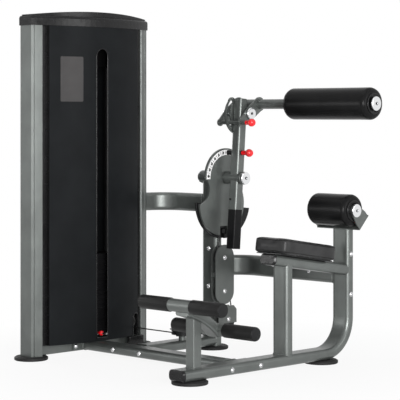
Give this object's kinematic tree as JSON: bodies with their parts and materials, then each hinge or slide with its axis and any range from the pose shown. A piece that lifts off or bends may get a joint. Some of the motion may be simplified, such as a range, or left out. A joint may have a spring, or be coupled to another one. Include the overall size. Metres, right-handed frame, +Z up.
{
  "type": "ab crunch machine",
  "caption": "Seated abdominal crunch machine: enclosed weight-stack tower, floor frame with seat and foot rest, and a cam-driven arm with a padded chest roller.",
  "frame": {"origin": "on the floor, at the middle of the machine's footprint", "axes": "+Z up, +X from the weight tower towards the seat, -Y the way the seated user faces"},
  "size_m": [1.407, 1.1624, 1.65],
  "materials": {
    "frame_paint": "metallic mid-grey powder coat",
    "panel_paint": "black satin powder coat",
    "black_plastic": "moulded, fine texture",
    "pulley_plastic": "moulded nylon",
    "black_iron": "black painted casting",
    "rubber": "moulded rubber",
    "foam": "closed-cell foam grip",
    "vinyl": "black upholstery vinyl",
    "chrome": "polished",
    "bare_steel": "ground",
    "dark_steel": "dark coated steel",
    "scale_white": "white enamel",
    "knob_red": "glossy red",
    "cable_coat": "black coated steel cable"
  },
  "bodies": {
    "frame": {"tower_posts": "frame_paint", "tower_base": "frame_paint", "crown_beam": "panel_paint", "tower_crown": "black_plastic", "front_panel": "panel_paint", "rear_panel": "panel_paint", "panel_channels": "black_plastic", "guide_rods": "dark_steel", "stack_buffers": "rubber", "main_beam": "frame_paint", "cross_beam": "frame_paint", "column": "frame_paint", "tower_brace": "frame_paint", "seat_brace": "frame_paint", "seat_frame": "frame_paint", "seat_post": "frame_paint", "seat_tube": "frame_paint", "tube_end_caps": "black_plastic", "rubber_feet": "rubber", "seat_plate": "black_plastic", "seat_cushion": "vinyl", "foot_frame": "frame_paint", "foot_bars": "frame_paint", "foot_sleeves": "foam", "lumbar_bracket": "frame_paint", "lumbar_axle": "chrome", "guide_bracket": "frame_paint", "pulley_stands": "frame_paint", "frame_bolts": "bare_steel", "cable_run": "cable_coat", "cam_cable": "cable_coat", "stack_cable": "cable_coat"},
    "stack": {"weight_plates": "black_iron", "head_plate": "black_iron", "selector_rod": "bare_steel"},
    "selector": {"selector_pin": "bare_steel", "selector_knob": "knob_red"},
    "cam": {"cam_plate": "frame_paint", "cam_sheave": "dark_steel", "cam_scale": "scale_white", "cable_clevis": "dark_steel", "pivot_shaft": "chrome"},
    "arm": {"arm_tube": "frame_paint", "arm_weight": "black_iron", "index_plate": "frame_paint", "link_shaft": "chrome", "start_pin_barrel": "dark_steel"},
    "start_plunger": {"start_pin": "knob_red"},
    "link": {"roller_link": "frame_paint", "roller_tip_cap": "chrome"},
    "link_plunger": {"link_pin": "knob_red"},
    "chest_pad": {"chest_roller": "vinyl"},
    "lumbar_pad": {"lumbar_roller": "vinyl"},
    "upper_guide_pulley_wheel": {"upper_guide_pulley": "pulley_plastic"},
    "lower_guide_pulley_wheel": {"lower_guide_pulley": "pulley_plastic"},
    "column_pulley_wheel": {"column_pulley": "pulley_plastic"},
    "corner_pulley_wheel": {"corner_pulley": "pulley_plastic"},
    "tower_foot_pulley_wheel": {"tower_foot_pulley": "pulley_plastic"},
    "tower_far_pulley_wheel": {"tower_far_pulley": "pulley_plastic"},
    "tower_near_pulley_wheel": {"tower_near_pulley": "pulley_plastic"}
  },
  "joints": [
    {"name": "stack_slide", "type": "slide", "parent": "frame", "child": "stack", "axis": [0, 0, 1], "range_m": [0, 0.25], "deforming": ["stack_cable"]},
    {"name": "cam_swing", "type": "hinge", "parent": "frame", "child": "cam", "pos_m": [-0.1765, 0.36922, 0.848], "axis": [1, 0, 0], "range_deg": [0, 55], "deforming": ["cam_cable"]},
    {"name": "arm_adjust", "type": "hinge", "parent": "cam", "child": "arm", "pos_m": [-0.0775, 0.36922, 0.848], "axis": [1, 0, 0], "range_deg": [0, 60]},
    {"name": "start_pin_pull", "type": "slide", "parent": "arm", "child": "start_plunger", "axis": [1, 0, 0], "range_m": [0, 0.015], "stiffness_N_per_m": 600},
    {"name": "link_adjust", "type": "hinge", "parent": "arm", "child": "link", "pos_m": [-0.0775, 0.41522, 1.162], "axis": [1, 0, 0], "range_deg": [-75, 0]},
    {"name": "link_pin_pull", "type": "slide", "parent": "link", "child": "link_plunger", "axis": [1, 0, 0], "range_m": [0, 0.015], "stiffness_N_per_m": 600},
    {"name": "chest_roller_spin", "type": "hinge", "parent": "link", "child": "chest_pad", "pos_m": [0.4445, 0.4832, 1.20785], "axis": [1, 0, 0], "continuous": true},
    {"name": "lumbar_roller_spin", "type": "hinge", "parent": "frame", "child": "lumbar_pad", "pos_m": [0.4445, 0.48822, 0.71], "axis": [1, 0, 0], "continuous": true},
    {"name": "selector_pull", "type": "slide", "parent": "stack", "child": "selector", "axis": [1, 0, 0], "range_m": [0, 0.1]},
    {"name": "upper_guide_pulley_spin", "type": "hinge", "parent": "frame", "child": "upper_guide_pulley_wheel", "pos_m": [-0.1765, 0.36922, 0.454], "axis": [1, 0, 0], "continuous": true},
    {"name": "lower_guide_pulley_spin", "type": "hinge", "parent": "frame", "child": "lower_guide_pulley_wheel", "pos_m": [-0.1765, 0.36922, 0.29], "axis": [1, 0, 0], "continuous": true},
    {"name": "column_pulley_spin", "type": "hinge", "parent": "frame", "child": "column_pulley_wheel", "pos_m": [-0.1765, 0.39722, 0.15], "axis": [1, 0, 0], "continuous": true},
    {"name": "corner_pulley_spin", "type": "hinge", "parent": "frame", "child": "corner_pulley_wheel", "pos_m": [-0.2215, 0.13722, 0.105], "axis": [0, 0, 1], "continuous": true},
    {"name": "tower_foot_pulley_spin", "type": "hinge", "parent": "frame", "child": "tower_foot_pulley_wheel", "pos_m": [-0.5565, 0.09222, 0.137], "axis": [0, 1, 0], "continuous": true},
    {"name": "tower_far_pulley_spin", "type": "hinge", "parent": "frame", "child": "tower_far_pulley_wheel", "pos_m": [-0.5885, 0.04722, 1.51], "axis": [1, 0, 0], "continuous": true},
    {"name": "tower_near_pulley_spin", "type": "hinge", "parent": "frame", "child": "tower_near_pulley_wheel", "pos_m": [-0.5885, -0.10478, 1.51], "axis": [1, 0, 0], "continuous": true}
  ],
  "couplings": [
    {"joint": "cam_swing", "follows": "stack_slide", "rad_per_m": 3.8397},
    {"joint": "upper_guide_pulley_spin", "follows": "stack_slide", "rad_per_m": -22.222},
    {"joint": "lower_guide_pulley_spin", "follows": "stack_slide", "rad_per_m": 22.222},
    {"joint": "column_pulley_spin", "follows": "stack_slide", "rad_per_m": 22.222},
    {"joint": "corner_pulley_spin", "follows": "stack_slide", "rad_per_m": 22.222},
    {"joint": "tower_foot_pulley_spin", "follows": "stack_slide", "rad_per_m": -31.25},
    {"joint": "tower_far_pulley_spin", "follows": "stack_slide", "rad_per_m": -22.222},
    {"joint": "tower_near_pulley_spin", "follows": "stack_slide", "rad_per_m": -22.222}
  ]
}
